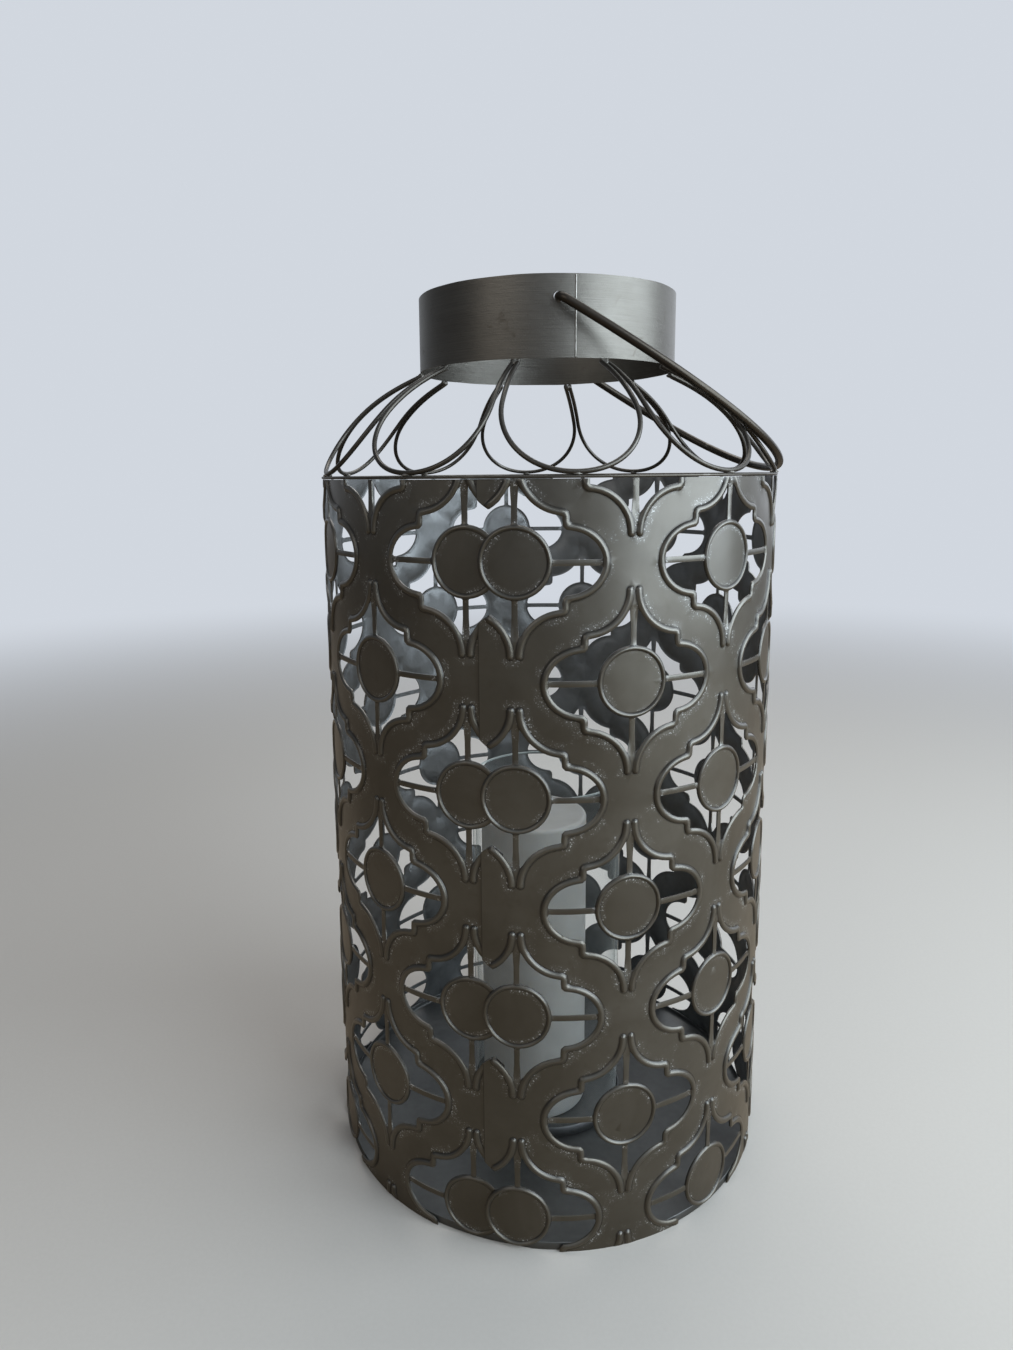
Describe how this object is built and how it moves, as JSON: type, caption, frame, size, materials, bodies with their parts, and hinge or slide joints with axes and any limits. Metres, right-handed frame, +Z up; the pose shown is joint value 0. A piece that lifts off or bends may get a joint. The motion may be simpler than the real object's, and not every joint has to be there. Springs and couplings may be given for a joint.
{
  "type": "candle lantern",
  "caption": "Tall round candle lantern: pierced and ribbed sheet-metal wall, wire petal crown, open collar with a swinging bail handle, clear glass cylinder and pillar candle.",
  "frame": {"origin": "centre of the base on the surface it stands on", "axes": "+Z up along the lantern's axis; -Y is the front, where the wall's lap and one handle pivot are; the handle lies down to +X"},
  "size_m": [0.345, 0.3399, 0.65],
  "materials": {
    "pewter_sheet": "satin antique pewter over thin pressed steel, rubbed along the ribs",
    "rim_wire": "worn satin wire",
    "galvanised_pan": "galvanised, dull blue-grey",
    "seat_ring": "galvanised, dull blue-grey",
    "petal_wire": "satin dark bronze",
    "brushed_collar": "brushed round the band, antique pewter tint",
    "handle_rod": "satin dark bronze",
    "clear_glass": "clear, smooth",
    "candle_wax": "off-white wax",
    "wick_cotton": "unburnt braided cotton"
  },
  "bodies": {
    "lantern": {"body_sheet": "pewter_sheet", "top_rim": "rim_wire", "base_pan": "galvanised_pan", "glass_seat": "seat_ring", "collar": "brushed_collar", "petal_01": "petal_wire", "petal_02": "petal_wire", "petal_03": "petal_wire", "petal_04": "petal_wire", "petal_05": "petal_wire", "petal_06": "petal_wire", "petal_07": "petal_wire", "petal_08": "petal_wire", "petal_09": "petal_wire", "petal_10": "petal_wire"},
    "bail": {"handle": "handle_rod"},
    "glass": {"glass_cylinder": "clear_glass"},
    "pillar_candle": {"candle": "candle_wax", "wick": "wick_cotton"}
  },
  "joints": [
    {"name": "handle_swing", "type": "hinge", "parent": "lantern", "child": "bail", "pos_m": [0, 0, 0.6353], "axis": [0.0854, -0.9963, 0], "range_deg": [0, 240]},
    {"name": "glass_lift", "type": "slide", "parent": "lantern", "child": "glass", "axis": [0, 0, 1], "range_m": [0, 0.4]},
    {"name": "candle_lift", "type": "slide", "parent": "lantern", "child": "pillar_candle", "axis": [0, 0, 1], "range_m": [0, 0.4]}
  ]
}
